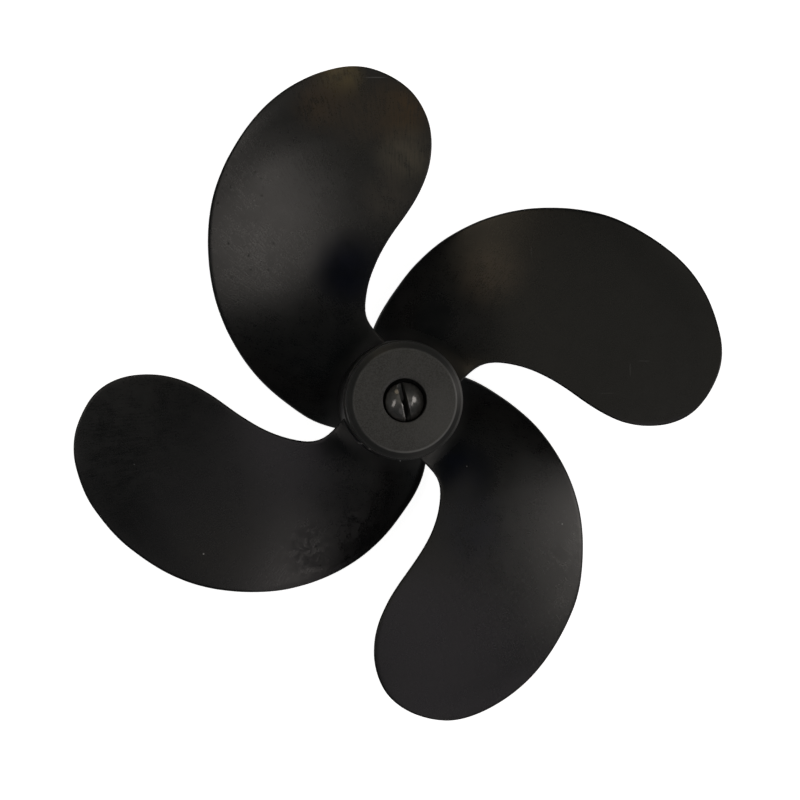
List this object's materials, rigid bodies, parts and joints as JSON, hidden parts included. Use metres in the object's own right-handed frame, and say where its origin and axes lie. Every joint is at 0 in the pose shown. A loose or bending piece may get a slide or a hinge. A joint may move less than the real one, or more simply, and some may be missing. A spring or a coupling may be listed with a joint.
{
  "type": "aerator propeller",
  "caption": "Skewed multi-blade propeller moulded in black plastic, with a capped hub, a domed slotted screw and a keyed shaft sleeve, for driving water in an aerator.",
  "frame": {"origin": "on the shaft axis, at the hub's flat back face, on which the propeller stands", "axes": "+Z along the shaft axis, out of the hub's capped front towards the screw; the first blade trails off towards +X"},
  "size_m": [0.2266, 0.2266, 0.0435],
  "materials": {
    "blade_plastic": "satin black moulded plastic, faintly brushed, with dust, fine scratches and dull handling marks",
    "cap_plastic": "matt dark grey plastic, turned face with a stepped rim",
    "screw_steel": "darkened steel, worn satin dome",
    "sleeve_steel": "machined bare steel"
  },
  "bodies": {
    "root": {"propeller_moulding": "blade_plastic", "hub_cap": "cap_plastic", "slotted_screw": "screw_steel", "shaft_sleeve": "sleeve_steel"}
  },
  "joints": []
}
